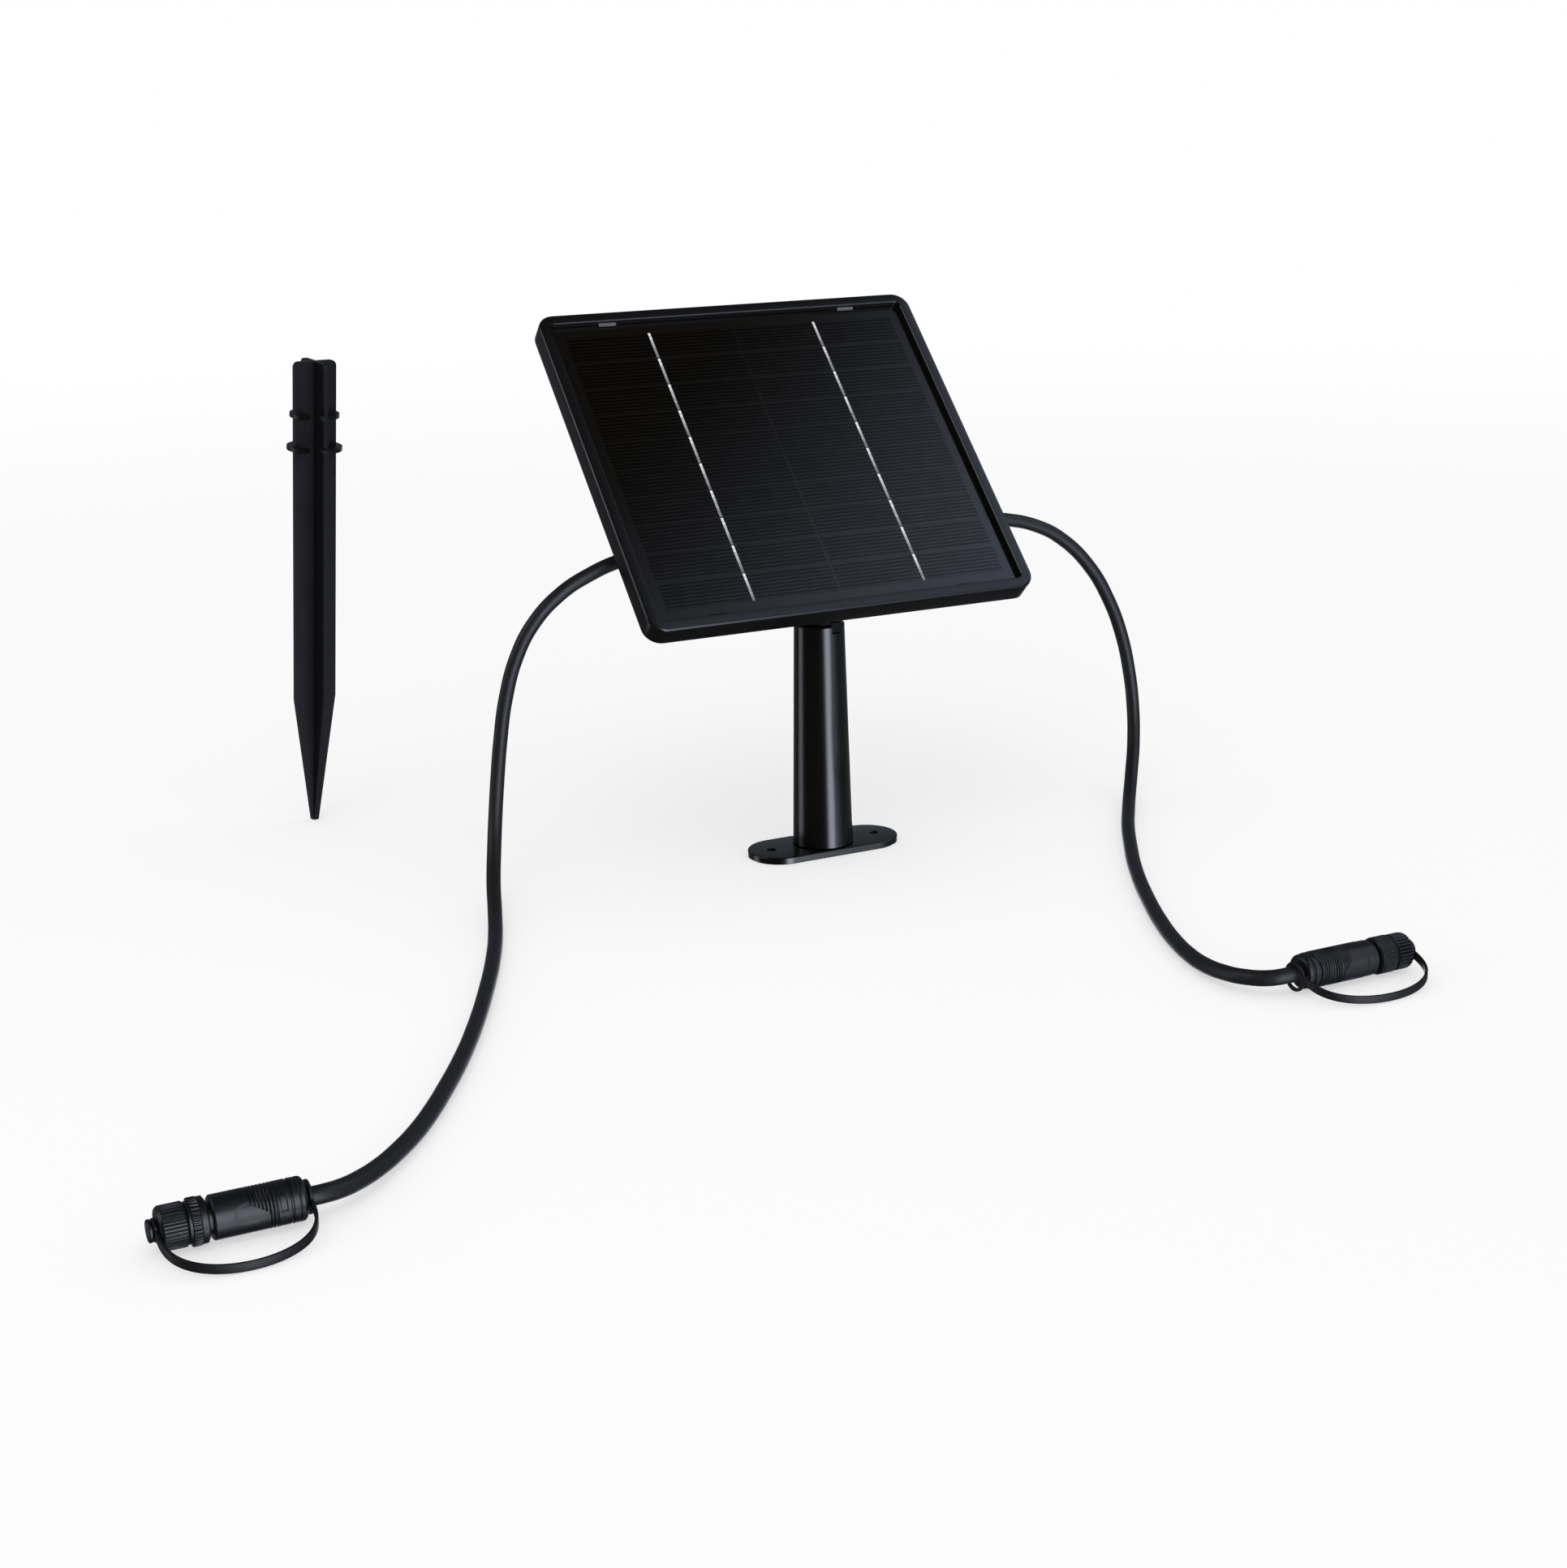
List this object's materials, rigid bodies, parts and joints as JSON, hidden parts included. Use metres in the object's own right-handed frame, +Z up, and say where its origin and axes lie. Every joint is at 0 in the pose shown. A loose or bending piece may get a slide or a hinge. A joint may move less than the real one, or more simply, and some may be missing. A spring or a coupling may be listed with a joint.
{
  "type": "garden solar power unit",
  "caption": "Framed solar panel on a tilting neck and tapered post with a screw-down foot, two outlet cords ending in capped plugs, and a separate ground spike.",
  "frame": {"origin": "centre of the foot's underside, on the post's axis", "axes": "+Z up, +X to the panel's right seen from the front and along the long foot, the panel faces -Y and upwards"},
  "size_m": [0.5201, 0.4336, 0.2286],
  "materials": {
    "frame_plastic": "black moulded plastic with a satin sheen and a bright rounded edge",
    "post_plastic": "glossy black moulded plastic",
    "housing_plastic": "fine-grained matt black moulded plastic",
    "plug_plastic": "matt black moulded nylon",
    "black_rubber": "matt black rubber",
    "laminate": "dark blue-black half-cut cells with fine silver lines under clear glass",
    "zinc_steel": "bright zinc-plated steel",
    "board": "green circuit board",
    "cell": "round cell in a blue sleeve",
    "insert_plastic": "grey moulded plastic",
    "gold_brass": "gold-plated brass"
  },
  "bodies": {
    "stand": {"foot_plate": "post_plastic", "post": "post_plastic", "neck": "housing_plastic", "ground_spike": "post_plastic", "cord_left": "black_rubber", "cord_right": "black_rubber", "plug_body_left": "plug_plastic", "plug_body_right": "plug_plastic", "plug_seal_left": "black_rubber", "plug_seal_right": "black_rubber", "plug_insert_left": "insert_plastic", "plug_insert_right": "insert_plastic", "plug_pin_left_upper": "gold_brass", "plug_pin_left_lower": "gold_brass", "plug_pin_right_upper": "gold_brass", "plug_pin_right_lower": "gold_brass", "cap_strap_left": "black_rubber", "cap_strap_right": "black_rubber"},
    "panel": {"panel_frame": "frame_plastic", "solar_laminate": "laminate", "rear_housing": "housing_plastic", "housing_lid": "housing_plastic", "lid_seal": "black_rubber", "circuit_board": "board", "battery_cell": "cell", "hinge_bracket": "housing_plastic", "hinge_bolt": "zinc_steel", "hinge_nut": "zinc_steel", "gland_body_left": "housing_plastic", "gland_body_right": "housing_plastic", "gland_nut_left": "plug_plastic", "gland_nut_right": "plug_plastic", "bracket_screw_left": "zinc_steel", "bracket_screw_right": "zinc_steel", "board_screw_left": "zinc_steel", "board_screw_right": "zinc_steel", "lid_screw_1": "zinc_steel", "lid_screw_2": "zinc_steel", "lid_screw_3": "zinc_steel", "lid_screw_4": "zinc_steel", "cover_screw_1": "zinc_steel", "cover_screw_2": "zinc_steel", "cover_screw_3": "zinc_steel", "cover_screw_4": "zinc_steel", "cover_screw_5": "zinc_steel", "cover_screw_6": "zinc_steel"},
    "button": {"power_button": "black_rubber"},
    "nut_left": {"coupling_nut_left": "plug_plastic"},
    "nut_right": {"coupling_nut_right": "plug_plastic"},
    "cap_left": {"plug_cap_left": "plug_plastic"},
    "cap_right": {"plug_cap_right": "plug_plastic"}
  },
  "joints": [
    {"name": "panel_tilt", "type": "hinge", "parent": "stand", "child": "panel", "pos_m": [0, 0.018, 0.1345], "axis": [1, 0, 0], "range_deg": [-45, 15]},
    {"name": "button_press", "type": "slide", "parent": "panel", "child": "button", "axis": [0, -0.7071, 0.7071], "range_m": [0, 0.001], "stiffness_N_per_m": 600, "springref_m": -0.001},
    {"name": "nut_left_turn", "type": "hinge", "parent": "stand", "child": "nut_left", "pos_m": [-0.331, -0.2468, 0.0074], "axis": [-1, 0, 0], "continuous": true},
    {"name": "nut_right_turn", "type": "hinge", "parent": "stand", "child": "nut_right", "pos_m": [0.108, -0.2404, 0.0074], "axis": [1, 0, 0], "continuous": true},
    {"name": "cap_left_turn", "type": "hinge", "parent": "stand", "child": "cap_left", "pos_m": [-0.338, -0.2468, 0.0074], "axis": [-1, 0, 0], "continuous": true},
    {"name": "cap_right_turn", "type": "hinge", "parent": "stand", "child": "cap_right", "pos_m": [0.116, -0.2404, 0.0074], "axis": [1, 0, 0], "continuous": true}
  ]
}
